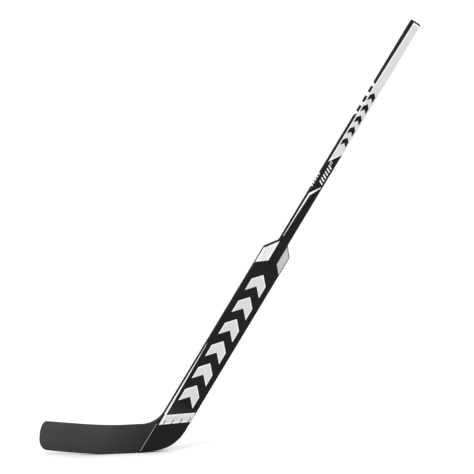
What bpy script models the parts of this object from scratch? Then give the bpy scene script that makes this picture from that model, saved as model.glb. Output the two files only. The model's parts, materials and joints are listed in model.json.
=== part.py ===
"""Goalkeeper's ice hockey stick: hollow shaft, foam-core paddle and a curved, tapered blade.

Frame: the stick stands in its playing position. The flat of the sole touches the ice at the origin,
+X runs along the sole from the toe towards the heel, +Y points to the forehand side and +Z is up.
The curve of the blade bends the toe towards +Y. Every glued joint keeps a bond line of GLUE_GAP.
"""

import math

import bmesh
import bpy
from mathutils import Matrix, Vector
from mathutils.geometry import interpolate_bezier

MM = 0.001
GLUE_GAP = 0.3 * MM

# Whole stick
LIE_ANGLE = math.radians(58.0)  # shaft against the ice
HEEL_POINT_X = 153.0 * MM  # where the paddle's lower edge line meets the ice
STICK_LENGTH = 1401.0 * MM  # from the heel point up to the butt end

# Paddle, the wide lower part of the stick
PADDLE_WIDTH = 80.5 * MM
PADDLE_HALF = 11.0 * MM  # half of its thickness
PADDLE_ROUND = 3.5 * MM  # radius of its long edges
RAIL_WIDTH = 5.0 * MM  # hard edge rails around the core
SKIN = 1.2 * MM  # laminate on each face
HEEL_REACH = 69.5 * MM  # how far up the lower edge the heel curve starts
HEEL_BLOCK_TOP = 120.0 * MM  # solid heel blocks end here, up from the heel point
UPPER_SHOULDER = 633.0 * MM  # shoulder corners and necks, up from the heel point
LOWER_SHOULDER = 641.0 * MM
UPPER_NECK = 670.0 * MM
LOWER_NECK = 667.5 * MM
SHOULDER_ROUND = 14.0 * MM
SHOULDER_CAP_START = 600.0 * MM
RAIL_FOOT_GAP = 0.8 * MM  # the upper rail's foot over the rising heel edge

# Shaft
SHAFT_WIDTH = 30.0 * MM
SHAFT_THICKNESS = 20.0 * MM
SHAFT_ROUND = 5.0 * MM
SHAFT_WALL = 1.8 * MM
SHAFT_OFFSET = 2.3 * MM  # shaft's centre line from the paddle's, towards the lower edge
TENON_LENGTH = 80.0 * MM  # spine inside the shaft
TENON_ROOT = 9.0 * MM  # and down into the wide part of the spine
PLUG_FLANGE = 4.0 * MM
PLUG_STEM = 32.0 * MM

# Blade
TOE_X = -225.0 * MM
TOE_CORNER_X = -203.5 * MM
TOE_TOP_Z = 99.8 * MM
TOE_BOTTOM_Z = 16.4 * MM
TOE_MIDDLE_Z = 47.0 * MM
BLADE_TOP_Z = 80.8 * MM  # lowest stretch of the top edge
BLADE_TOP_FLAT_X = 15.0 * MM
THROAT_ROUND = 76.0 * MM  # between the blade's top edge and the paddle
SOLE_FLAT = (-20.0 * MM, 40.0 * MM)
CURVE_START_X = 30.0 * MM
CURVE_DEPTH = 16.7 * MM  # how far the toe bends to the forehand side
BLADE_HEEL_HALF = 9.0 * MM  # half thickness beside the paddle
BLADE_TOE_HALF = 3.3 * MM
BLADE_ROUND = 2.4 * MM
BLADE_EDGE = 4.0 * MM  # edge mouldings
BLADE_SKIN = 1.2 * MM
SPAR_LINE = (Vector((-225.0 * MM, 55.0 * MM)), Vector((60.0 * MM, 41.0 * MM)))
SPAR_HALF = 7.0 * MM  # half of the spar's height
SPAR_TENON_HALF = (6.0 * MM, 5.0 * MM)  # half height and half thickness of its tenon
SPAR_TENON_REACH = 20.7 * MM  # from the paddle's upper edge into the heel
SPAR_TENON_ROOT = 15.0 * MM  # and back into the spar
MORTISE_MOUTH = 5.0 * MM  # the mortise's cutter, clear of the paddle's upper edge
STATION = 15.0 * MM  # spacing of the cross sections that follow the blade's curve

# Worked out from the sizes above
SIN = math.sin(LIE_ANGLE)
COS = math.cos(LIE_ANGLE)
ALONG = Vector((COS, SIN))  # up the shaft, as (X, Z)
ACROSS = Vector((SIN, -COS))  # towards the paddle's lower edge
LOWER_EDGE = HEEL_POINT_X * SIN
UPPER_EDGE = LOWER_EDGE - PADDLE_WIDTH
HEEL_LEVEL = HEEL_POINT_X * COS
SHAFT_CENTRE = (UPPER_EDGE + LOWER_EDGE) / 2 + SHAFT_OFFSET
SHAFT_SIDES = (SHAFT_CENTRE - SHAFT_WIDTH / 2, SHAFT_CENTRE + SHAFT_WIDTH / 2)
SPINE_SIDES = (SHAFT_SIDES[0] + GLUE_GAP, SHAFT_SIDES[1] - GLUE_GAP)
SHAFT_START = HEEL_LEVEL + UPPER_NECK + GLUE_GAP
BUTT_END = HEEL_LEVEL + STICK_LENGTH
CORE_HALF = PADDLE_HALF - SKIN - GLUE_GAP
BLADE_INSIDE = BLADE_SKIN + GLUE_GAP  # from a blade face in to the core


def paddle_point(across, up):
    """The (X, Z) of a point by its distance across the stick and its height up from the heel point."""
    return ACROSS * across + ALONG * (HEEL_LEVEL + up)


def bezier(start, first_handle, second_handle, end, steps):
    return [p.to_2d() for p in interpolate_bezier(
        start.to_3d(), first_handle.to_3d(), second_handle.to_3d(), end.to_3d(), steps + 1)]


def fillet(before, corner, after, radius, steps):
    """Arc that rounds the corner between two straight edges."""
    to_before = (before - corner).normalized()
    to_after = (after - corner).normalized()
    half = to_before.angle(to_after) / 2
    centre = corner + (to_before + to_after).normalized() * (radius / math.sin(half))
    reach = radius / math.tan(half)
    first = corner + to_before * reach - centre
    last = corner + to_after * reach - centre
    sweep = first.angle(last)
    return [centre + (first * math.sin(sweep * (1 - i / steps)) + last * math.sin(sweep * i / steps))
            / math.sin(sweep) for i in range(steps + 1)]


def inset(path, distance):
    """The path moved to its left by a distance. Paths run so that the stick is on their left."""
    moved = []
    for i, point in enumerate(path):
        normals = []
        for a, b in ((i - 1, i), (i, i + 1)):
            if a >= 0 and b < len(path):
                step = (path[b] - path[a]).normalized()
                normals.append(Vector((-step.y, step.x)))
        normal = sum(normals, Vector((0, 0))).normalized()
        moved.append(point + normal * (distance / normal.dot(normals[0])))
    return moved


def clip(outline, origin, direction):
    """The part of a closed outline that lies on the direction side of a line through origin."""
    kept = []
    for a, b in zip(outline, outline[1:] + outline[:1]):
        side_a = (a - origin).dot(direction)
        side_b = (b - origin).dot(direction)
        if side_a >= 0:
            kept.append(a)
        if side_a * side_b < 0:
            kept.append(a.lerp(b, side_a / (side_a - side_b)))
    return kept


def band(outline, origin, direction, low, high):
    """The part of a closed outline between two parallel lines."""
    above = clip(outline, origin + direction * low, direction)
    return clip(above, origin + direction * high, -direction)


# Edges of the stick, each a path with the stick on its left

def blade_top_path():
    toe = Vector((TOE_CORNER_X, TOE_TOP_Z))
    level = Vector((BLADE_TOP_FLAT_X, BLADE_TOP_Z))
    corner_x = (UPPER_EDGE + BLADE_TOP_Z * COS) / SIN
    corner = Vector((corner_x, BLADE_TOP_Z))
    throat = fillet(corner + ALONG, corner, level, THROAT_ROUND, 12)
    return throat + bezier(level, level - Vector((65 * MM, 0)), toe + Vector((73 * MM, -7.5 * MM)), toe, 10)


def toe_path():
    top = Vector((TOE_CORNER_X, TOE_TOP_Z))
    middle = Vector((TOE_X, TOE_MIDDLE_Z))
    bottom = Vector((TOE_CORNER_X, TOE_BOTTOM_Z))
    upper = bezier(top, top + Vector((-14 * MM, 1.2 * MM)), middle + Vector((0, 26 * MM)), middle, 9)
    lower = bezier(middle, middle - Vector((0, 16 * MM)), bottom + Vector((-13 * MM, 1.4 * MM)), bottom, 7)
    return upper + lower[1:]


def sole_path():
    toe = Vector((TOE_CORNER_X, TOE_BOTTOM_Z))
    flat_start = Vector((SOLE_FLAT[0], 0))
    flat_end = Vector((SOLE_FLAT[1], 0))
    rocker = bezier(toe, toe + Vector((73 * MM, -8 * MM)), flat_start - Vector((55 * MM, 0)), flat_start, 10)
    return rocker + [flat_end]


def heel_path():
    start = Vector((SOLE_FLAT[1], 0))
    end = paddle_point(LOWER_EDGE, HEEL_REACH)
    return bezier(start, start + Vector((70 * MM, 0)), end - ALONG * (62 * MM), end, 18)


def lower_shoulder_path():
    start = paddle_point(LOWER_EDGE, SHOULDER_CAP_START + GLUE_GAP)
    corner = paddle_point(LOWER_EDGE, LOWER_SHOULDER)
    neck = paddle_point(SHAFT_SIDES[1], LOWER_NECK)
    return [start] + fillet(start, corner, neck, SHOULDER_ROUND, 6) + [neck]


def upper_shoulder_path():
    end = paddle_point(UPPER_EDGE, SHOULDER_CAP_START + GLUE_GAP)
    corner = paddle_point(UPPER_EDGE, UPPER_SHOULDER)
    neck = paddle_point(SHAFT_SIDES[0], UPPER_NECK)
    return [neck] + fillet(neck, corner, end, SHOULDER_ROUND, 6) + [end]


def blade_outline(depth):
    """Closed outline of the blade, its edges moved in by a depth and its heel end cut along the paddle."""
    edge = inset(blade_top_path(), depth) + inset(toe_path(), depth)[1:-1]
    edge += inset(sole_path() + heel_path()[1:], depth)
    return clip(edge, ACROSS * (UPPER_EDGE - GLUE_GAP), -ACROSS)


def point_at(a, b, across):
    """The point of a line through a and b that lies at a distance across the stick."""
    return a.lerp(b, (across - a.dot(ACROSS)) / (b - a).dot(ACROSS))


def paddle_outline(depth):
    """Closed outline of the paddle and heel, its edges moved in by a depth, with the whole neck."""
    edge = inset(heel_path()[:-1] + lower_shoulder_path(), depth)
    edge[-1] = point_at(edge[-2], edge[-1], SPINE_SIDES[1])
    edge += [paddle_point(SPINE_SIDES[1], UPPER_NECK), paddle_point(SPINE_SIDES[0], UPPER_NECK)]
    upper = inset(upper_shoulder_path(), depth)
    upper[0] = point_at(upper[0], upper[1], SPINE_SIDES[0])
    edge += upper
    edge.append(paddle_point(UPPER_EDGE + depth, -HEEL_LEVEL))
    edge = clip(edge, ACROSS * (UPPER_EDGE + depth), ACROSS)
    return clip(edge, Vector((0, depth)), Vector((0, 1)))


# The blade's thickness and curve

def blade_middle(x):
    reach = max(0.0, CURVE_START_X - x) / (CURVE_START_X - TOE_X)
    return CURVE_DEPTH * reach**2


def blade_half(x):
    seam_x = UPPER_EDGE / SIN
    share = min(1.0, max(0.0, (x - TOE_X) / (seam_x - TOE_X)))
    return BLADE_TOE_HALF + (BLADE_HEEL_HALF - BLADE_TOE_HALF) * share


# Making solids

def add_material(obj, name, colour, roughness, metallic=0.0):
    material = bpy.data.materials.get(name)
    if material is None:
        material = bpy.data.materials.new(name)
        material.use_nodes = True
        shader = material.node_tree.nodes["Principled BSDF"]
        shader.inputs["Base Color"].default_value = (*colour, 1.0)
        shader.inputs["Roughness"].default_value = roughness
        shader.inputs["Metallic"].default_value = metallic
    obj.data.materials.append(material)


def link(obj, cutter=False):
    collection = cutters if cutter else parts
    collection.objects.link(obj)
    if cutter:
        obj.hide_render = True
        obj.display_type = "WIRE"
    return obj


def to_mesh(obj):
    """Turns a curve object into a mesh object of the same name and place, its caps welded."""
    bpy.context.view_layer.update()
    evaluated = obj.evaluated_get(bpy.context.evaluated_depsgraph_get())
    mesh = bpy.data.meshes.new_from_object(evaluated)
    bm = bmesh.new()
    bm.from_mesh(mesh)
    bmesh.ops.remove_doubles(bm, verts=bm.verts, dist=1e-6)
    bmesh.ops.recalc_face_normals(bm, faces=bm.faces)
    bm.to_mesh(mesh)
    bm.free()
    name = obj.name
    parent = obj.parent
    matrix = obj.matrix_world.copy()
    collection = obj.users_collection[0]
    hidden = obj.hide_render
    bpy.data.objects.remove(obj)
    result = bpy.data.objects.new(name, mesh)
    collection.objects.link(result)
    result.parent = parent
    result.matrix_world = matrix
    result.hide_render = hidden
    result.display_type = "WIRE" if hidden else "TEXTURED"
    return result


def flat_curve(name, outlines, half_height):
    curve = bpy.data.curves.new(name, "CURVE")
    curve.dimensions = "2D"
    curve.fill_mode = "BOTH"
    curve.extrude = half_height
    for outline in outlines:
        spline = curve.splines.new("POLY")
        spline.points.add(len(outline) - 1)
        for point, place in zip(spline.points, outline):
            point.co = (place.x, place.y, 0.0, 1.0)
        spline.use_cyclic_u = True
    return bpy.data.objects.new(name, curve)


def plate(name, outline, low, high, cutter=False):
    """A flat piece: an outline in the X-Z plane, as thick as from low to high in Y."""
    obj = link(flat_curve(name, [outline], (high - low) / 2), cutter)
    obj.rotation_euler.x = math.pi / 2
    obj.location.y = (low + high) / 2
    return to_mesh(obj)


def blade_layer(name, outline, low_side, low_depth, high_side, high_depth):
    """A layer of the blade between two surfaces, each at a depth under the face on its side."""
    obj = plate(name, outline, -1.0, 1.0)
    mesh = obj.data
    mesh.transform(obj.matrix_world)
    obj.matrix_world = Matrix.Identity(4)
    bm = bmesh.new()
    bm.from_mesh(mesh)
    for i in range(int((UPPER_EDGE / SIN - TOE_X) / STATION) + 1):
        bmesh.ops.bisect_plane(
            bm, geom=bm.verts[:] + bm.edges[:] + bm.faces[:], dist=1e-6,
            plane_co=(TOE_X + (i + 1) * STATION, 0, 0), plane_no=(1, 0, 0))
    bmesh.ops.triangulate(bm, faces=bm.faces[:])
    for vertex in bm.verts:
        x = vertex.co.x
        side, depth = (low_side, low_depth) if vertex.co.y < 0 else (high_side, high_depth)
        vertex.co.y = blade_middle(x) + side * (blade_half(x) - depth)
    bm.to_mesh(mesh)
    bm.free()
    return obj


def edge_strip(name, path, depth, rounding, half=None, middle=None):
    """A hard edge moulding: its rounded back follows a path and its flat front is a depth inside."""
    quarter = [math.pi / 2 * step / 3 for step in range(4)]
    section = [(depth, 0.0)]
    section += [(rounding * (1 - math.sin(a)), rounding * (1 - math.cos(a))) for a in quarter]
    sides = [(-1, place) for place in section] + [(1, place) for place in reversed(section)]
    lines = {inward: inset(path, inward) for inward, _ in section}
    bm = bmesh.new()
    rings = []
    for i, back in enumerate(path):
        thick = half(back.x) if half else PADDLE_HALF
        centre = middle(back.x) if middle else 0.0
        ring = []
        for side, (inward, lower) in sides:
            point = lines[inward][i]
            ring.append(bm.verts.new((point.x, centre + side * (thick - lower), point.y)))
        rings.append(ring)
    for first, second in zip(rings, rings[1:]):
        for k in range(len(first)):
            n = (k + 1) % len(first)
            bm.faces.new((first[k], second[k], second[n], first[n]))
    bm.faces.new(rings[0])
    bm.faces.new(list(reversed(rings[-1])))
    bmesh.ops.recalc_face_normals(bm, faces=bm.faces)
    mesh = bpy.data.meshes.new(name)
    bm.to_mesh(mesh)
    bm.free()
    return link(bpy.data.objects.new(name, mesh))


def trim(obj, origin, direction):
    """Cuts a solid with a plane square to the X-Z plane and keeps the direction side."""
    bm = bmesh.new()
    bm.from_mesh(obj.data)
    bmesh.ops.bisect_plane(
        bm, geom=bm.verts[:] + bm.edges[:] + bm.faces[:], dist=1e-7, clear_inner=True,
        plane_co=(origin.x, 0, origin.y), plane_no=(direction.x, 0, direction.y))
    bmesh.ops.holes_fill(bm, edges=[edge for edge in bm.edges if edge.is_boundary])
    bmesh.ops.recalc_face_normals(bm, faces=bm.faces)
    bm.to_mesh(obj.data)
    bm.free()


def rounded_rectangle(half_width, half_height, radius):
    corners = [(1, 1, 0), (-1, 1, 90), (-1, -1, 180), (1, -1, 270)]
    points = []
    for sx, sy, start in corners:
        for i in range(6):
            angle = math.radians(start + 18 * i)
            points.append(Vector((sx * (half_width - radius) + radius * math.cos(angle),
                                  sy * (half_height - radius) + radius * math.sin(angle))))
    return points


def shaft_bar(name, inward, start, end, hollow=False, cutter=False):
    """A length of the shaft's section, or of that section moved inward, between two heights."""
    outlines = [rounded_rectangle(
        SHAFT_WIDTH / 2 - inward, SHAFT_THICKNESS / 2 - inward, SHAFT_ROUND - inward)]
    if hollow:
        outlines.append(rounded_rectangle(
            SHAFT_WIDTH / 2 - SHAFT_WALL, SHAFT_THICKNESS / 2 - SHAFT_WALL, SHAFT_ROUND - SHAFT_WALL))
    obj = link(flat_curve(name, outlines, (end - start) / 2), cutter)
    obj.parent = stick_axis
    obj.location = (SHAFT_CENTRE, 0.0, (start + end) / 2)
    return to_mesh(obj)


def boolean(obj, other, operation):
    modifier = obj.modifiers.new(operation.title(), "BOOLEAN")
    modifier.operation = operation
    modifier.object = other


def smooth(obj):
    obj.data.shade_smooth()
    obj.data.set_sharp_from_angle(angle=math.radians(32))


# The pieces

def make_shaft():
    tube = shaft_bar("shaft_tube", 0.0, SHAFT_START, BUTT_END - PLUG_FLANGE - GLUE_GAP, hollow=True)
    smooth(tube)
    add_material(tube, "shaft_laminate", (0.016, 0.016, 0.017), 0.32)

    plug = shaft_bar("butt_end_plug", 0.0, BUTT_END - PLUG_FLANGE, BUTT_END)
    stem = shaft_bar("plug_stem", SHAFT_WALL + GLUE_GAP, BUTT_END - PLUG_FLANGE - PLUG_STEM,
                     BUTT_END - PLUG_FLANGE / 2, cutter=True)
    boolean(plug, stem, "UNION")
    smooth(plug)
    add_material(plug, "plug_plastic", (0.02, 0.02, 0.02), 0.55)


def make_spine():
    inside = paddle_outline(RAIL_WIDTH + GLUE_GAP)
    outline = band(inside, Vector((0, 0)), ACROSS, *SPINE_SIDES)
    spine = plate("paddle_spine", outline, -CORE_HALF, CORE_HALF)
    tenon = shaft_bar("spine_tenon", SHAFT_WALL + GLUE_GAP, SHAFT_START - TENON_ROOT,
                      SHAFT_START + TENON_LENGTH, cutter=True)
    boolean(spine, tenon, "UNION")
    add_material(spine, "spine_wood", (0.52, 0.36, 0.2), 0.6)


def make_paddle_core():
    inside = paddle_outline(RAIL_WIDTH + GLUE_GAP)
    beside_spine = {
        "upper": (UPPER_EDGE, SHAFT_SIDES[0]),
        "lower": (SHAFT_SIDES[1], LOWER_EDGE),
    }
    heights = {
        "heel_block": (-HEEL_LEVEL, HEEL_BLOCK_TOP),
        "foam_core": (HEEL_BLOCK_TOP + GLUE_GAP, SHOULDER_CAP_START),
        "shoulder_block": (SHOULDER_CAP_START + GLUE_GAP, UPPER_NECK),
    }
    for side, (low, high) in beside_spine.items():
        strip = band(inside, Vector((0, 0)), ACROSS, low, high)
        for kind, (bottom, top) in heights.items():
            outline = band(strip, ALONG * HEEL_LEVEL, ALONG, bottom, top)
            block = plate(f"{side}_{kind}", outline, -CORE_HALF, CORE_HALF)
            if kind == "foam_core":
                add_material(block, "core_foam", (0.8, 0.77, 0.68), 0.9)
            else:
                add_material(block, "block_wood", (0.62, 0.46, 0.28), 0.6)


def make_paddle_skins():
    inside = paddle_outline(RAIL_WIDTH + GLUE_GAP)
    for name, low, high in (("paddle_backhand_skin", -PADDLE_HALF, SKIN - PADDLE_HALF),
                            ("paddle_forehand_skin", PADDLE_HALF - SKIN, PADDLE_HALF)):
        skin = plate(name, inside, low, high)
        add_material(skin, "paddle_laminate", (0.014, 0.014, 0.015), 0.3)


def make_paddle_edges():
    lower = edge_strip(
        "lower_edge_rail",
        [paddle_point(LOWER_EDGE, HEEL_REACH + GLUE_GAP), paddle_point(LOWER_EDGE, SHOULDER_CAP_START)],
        RAIL_WIDTH, PADDLE_ROUND)
    upper = edge_strip(
        "upper_edge_rail",
        [paddle_point(UPPER_EDGE, SHOULDER_CAP_START), paddle_point(UPPER_EDGE, -HEEL_LEVEL)],
        RAIL_WIDTH, PADDLE_ROUND)
    trim(upper, Vector((0, BLADE_EDGE + RAIL_FOOT_GAP)), Vector((0, 1)))
    lower_cap = edge_strip("lower_shoulder_cap", lower_shoulder_path(), RAIL_WIDTH, PADDLE_ROUND)
    upper_cap = edge_strip("upper_shoulder_cap", upper_shoulder_path(), RAIL_WIDTH, PADDLE_ROUND)
    trim(lower_cap, ACROSS * SHAFT_SIDES[1], ACROSS)
    trim(upper_cap, ACROSS * SHAFT_SIDES[0], -ACROSS)
    heel = edge_strip("heel_edge", heel_path(), BLADE_EDGE, PADDLE_ROUND)
    trim(heel, ACROSS * UPPER_EDGE, ACROSS)
    for obj in (lower, upper, lower_cap, upper_cap, heel):
        smooth(obj)
        add_material(obj, "edge_laminate", (0.012, 0.012, 0.013), 0.35)
    return upper


def make_blade():
    inside = blade_outline(BLADE_EDGE + GLUE_GAP)
    origin, end = SPAR_LINE
    run = (end - origin).normalized()
    up = Vector((-run.y, run.x))

    backhand = blade_layer("blade_backhand_skin", inside, -1, 0.0, -1, BLADE_SKIN)
    forehand = blade_layer("blade_forehand_skin", inside, 1, BLADE_SKIN, 1, 0.0)
    for skin in (backhand, forehand):
        add_material(skin, "blade_laminate", (0.045, 0.045, 0.046), 0.42)

    for name, outline in (
            ("blade_upper_foam", clip(inside, origin + up * (SPAR_HALF + GLUE_GAP), up)),
            ("blade_lower_foam", clip(inside, origin - up * (SPAR_HALF + GLUE_GAP), -up))):
        foam = blade_layer(name, outline, -1, BLADE_INSIDE, 1, BLADE_INSIDE)
        add_material(foam, "core_foam", (0.8, 0.77, 0.68), 0.9)

    spar = blade_layer("blade_spar", band(inside, origin, up, -SPAR_HALF, SPAR_HALF),
                       -1, BLADE_INSIDE, 1, BLADE_INSIDE)
    add_material(spar, "block_wood", (0.62, 0.46, 0.28), 0.6)
    half_height, half_thickness = SPAR_TENON_HALF
    tenon_end = UPPER_EDGE + SPAR_TENON_REACH
    tenon = spar_key(
        "spar_tenon", UPPER_EDGE - SPAR_TENON_ROOT, tenon_end, half_height, half_thickness)
    boolean(spar, tenon, "UNION")
    return spar_key(
        "spar_mortise", UPPER_EDGE - MORTISE_MOUTH, tenon_end + GLUE_GAP,
        half_height + GLUE_GAP, half_thickness + GLUE_GAP)


def spar_key(name, start, end, half_height, half_thickness):
    """A block on the spar's line, between two distances across the stick."""
    origin, line_end = SPAR_LINE
    run = (line_end - origin).normalized()
    up = Vector((-run.y, run.x))
    corners = []
    for across, side in ((start, -1), (end, -1), (end, 1), (start, 1)):
        edge = origin + up * side * half_height
        corners.append(edge + run * ((across - edge.dot(ACROSS)) / run.dot(ACROSS)))
    return plate(name, corners, -half_thickness, half_thickness, cutter=True)


def make_blade_edges():
    along_top, around_toe, along_sole = blade_top_path(), toe_path(), sole_path()
    paths = {
        "blade_top_edge": along_top + around_toe[1:2],
        "blade_toe_cap": along_top[-2:] + around_toe[1:-1] + along_sole[:2],
        "blade_sole_strip": around_toe[-2:] + along_sole[1:] + heel_path()[1:8],
    }
    strips = []
    for name, path in paths.items():
        strip = edge_strip(name, path, BLADE_EDGE, BLADE_ROUND, blade_half, blade_middle)
        add_material(strip, "edge_laminate", (0.012, 0.012, 0.013), 0.35)
        strips.append(strip)
    top, toe, sole = strips
    seam = ACROSS * (UPPER_EDGE - GLUE_GAP)
    towards_heel = Vector((1, 0))
    trim(toe, Vector((TOE_CORNER_X, 0)), -towards_heel)
    for strip in (top, sole):
        trim(strip, Vector((TOE_CORNER_X + GLUE_GAP, 0)), towards_heel)
        trim(strip, seam, -ACROSS)
    for strip in strips:
        smooth(strip)


for old in list(bpy.data.objects):
    bpy.data.objects.remove(old)

parts = bpy.data.collections.new("goalkeeper_stick")
cutters = bpy.data.collections.new("cutters")
for collection in (parts, cutters):
    bpy.context.scene.collection.children.link(collection)

stick_axis = bpy.data.objects.new("stick_axis", None)
stick_axis.rotation_euler.y = math.pi / 2 - LIE_ANGLE
parts.objects.link(stick_axis)

make_shaft()
make_spine()
make_paddle_core()
make_paddle_skins()
upper_rail = make_paddle_edges()
mortise = make_blade()
make_blade_edges()
for pierced in (upper_rail, bpy.data.objects["upper_heel_block"]):
    boolean(pierced, mortise, "DIFFERENCE")
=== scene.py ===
"""Builds the finish of a goalkeeper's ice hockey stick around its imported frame.

The shaft, paddle, blade and end plug are made as smooth lacquered pieces over the frame's glued
parts, then printed with bands, bars and panels. Sizes are in metres, in the frame's own axes:
+X from toe to heel along the sole, +Y out of the forehand face, +Z up from the ice.
"""

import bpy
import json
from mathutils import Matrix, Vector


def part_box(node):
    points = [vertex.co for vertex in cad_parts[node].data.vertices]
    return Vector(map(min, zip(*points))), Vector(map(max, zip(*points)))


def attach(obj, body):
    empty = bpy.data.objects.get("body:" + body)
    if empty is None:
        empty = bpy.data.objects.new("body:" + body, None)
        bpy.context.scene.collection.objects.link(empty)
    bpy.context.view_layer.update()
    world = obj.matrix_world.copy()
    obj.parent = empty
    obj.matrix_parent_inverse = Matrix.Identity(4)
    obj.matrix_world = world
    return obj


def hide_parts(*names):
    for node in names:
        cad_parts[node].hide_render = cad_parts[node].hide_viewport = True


bl_info = {
    "name": "Goalkeeper Stick Finish",
    "version": (1, 0, 0),
    "blender": (4, 5, 0),
    "location": "3D View > Sidebar > Stick",
    "description": "Lacquered shaft, paddle and blade with printed bands, and a plain stage",
    "category": "Object",
}

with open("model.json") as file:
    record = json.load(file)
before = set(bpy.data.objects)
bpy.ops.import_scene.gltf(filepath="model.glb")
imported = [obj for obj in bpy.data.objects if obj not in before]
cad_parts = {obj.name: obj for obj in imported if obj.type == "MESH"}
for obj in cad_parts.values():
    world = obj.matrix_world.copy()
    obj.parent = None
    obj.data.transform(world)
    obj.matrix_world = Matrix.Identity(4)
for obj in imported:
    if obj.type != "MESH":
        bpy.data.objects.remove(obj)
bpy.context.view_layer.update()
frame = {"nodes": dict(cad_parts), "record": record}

import json
import math

import bmesh
import bpy
from bpy.props import FloatProperty, FloatVectorProperty, IntProperty, PointerProperty
from mathutils import Matrix, Vector
from mathutils.geometry import interpolate_bezier

MM = 0.001
MOUNTS = {mount["name"]: mount for mount in frame["record"]["mounts"]}
BUTT = MOUNTS["butt_end_face"]
BUTT_POINT = Vector(BUTT["pos_m"])
UP_SHAFT = Vector(BUTT["axis"]).normalized()
LIE = math.atan2(UP_SHAFT.z, UP_SHAFT.x)
PADDLE_HALF = -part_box("paddle_backhand_skin")[0].y
SHAFT_HALF = -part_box("shaft_tube")[0].y
TOE_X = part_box("blade_toe_cap")[0].x
TOE_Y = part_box("blade_toe_cap")[1].y
PRINT_ROOM = 0.1 * MM  # the lacquer stops this far inside the frame's faces, for the print on it
PLUG_SEAT = 0.05 * MM  # between the shaft's end and the plug's flange
FLAT = 0.05  # half height of a plate before it is given its real thickness
SIDES = (-1, 1)  # backhand, forehand
BACKHAND = (-1,)
ON_CUT = 1e-7  # a vertex this near a cut lies on it
WELD = 1e-6  # vertices this near each other become one
CORNERS = ((1, 1), (-1, 1), (-1, -1), (1, -1))  # of a section, one for each quarter turn

# Handles of the curves, as steps from the end of the curve that they belong to
TOP_HANDLES = (Vector((-65 * MM, 0)), Vector((73 * MM, -7.5 * MM)))
TOE_HANDLES = (Vector((-14 * MM, 1.2 * MM)), Vector((0, 26 * MM)))
CHIN_HANDLES = (Vector((0, -16 * MM)), Vector((-13 * MM, 1.4 * MM)))
SOLE_HANDLES = (Vector((73 * MM, -8 * MM)), Vector((-55 * MM, 0)))
HEEL_HANDLES = (Vector((70 * MM, 0)), -62 * MM)
TOP_FLAT = 15 * MM  # where the blade's top edge is level
SOLE_FLAT = (-20 * MM, 40 * MM)
LAP = (82 * MM, 68 * MM, 60 * MM, 44 * MM)  # heights where the laminate's edge steps out over the blade
BELOW_SHOULDERS = 560 * MM  # the paddle's edges are straight here
COLLAR_SPARE = 25 * MM  # the collar's outline runs this far past its end, and is trimmed back
COLLAR = (630 * MM, 8 * MM)  # its start, and how far before its end it has the shaft's section
BLADE_TONGUE = 30 * MM  # the blade's outline runs this far under the paddle, and is trimmed back
BLADE_UNDER = 0.8 * MM
GLUE_GAP = 0.3 * MM
PLUG_STEM = 32 * MM
PLUG_EDGE = 0.25 * MM  # small chamfer where the plug's rim meets the shaft
HATCH_PITCH = 1.7 * MM
PLUG_SOFT = 0.7 * MM  # rounding of the plug's rim
FLOOR_HALF = 150.0
AIM = Vector((0.3408, 0.0, 0.6066))
LIGHTS = (("key", (-2.2, -2.4, 3.2), 1.6), ("fill", (3.0, -2.6, 1.6), 2.2))  # name, place, size


def length(label, text, size):
    return FloatProperty(name=label, description=text, default=size, unit="LENGTH", precision=5)


def slope(label, text, size):
    return FloatProperty(name=label, description=text, default=size, subtype="ANGLE")


def number(label, text, count):
    return IntProperty(name=label, description=text, default=count, min=1)


def power(label, text, watts):
    return FloatProperty(name=label, description=text, default=watts, min=0.0)


def colour(label, text, value):
    return FloatVectorProperty(
        name=label, description=text, default=value, subtype="COLOR", size=3, min=0.0, max=1.0)


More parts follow.
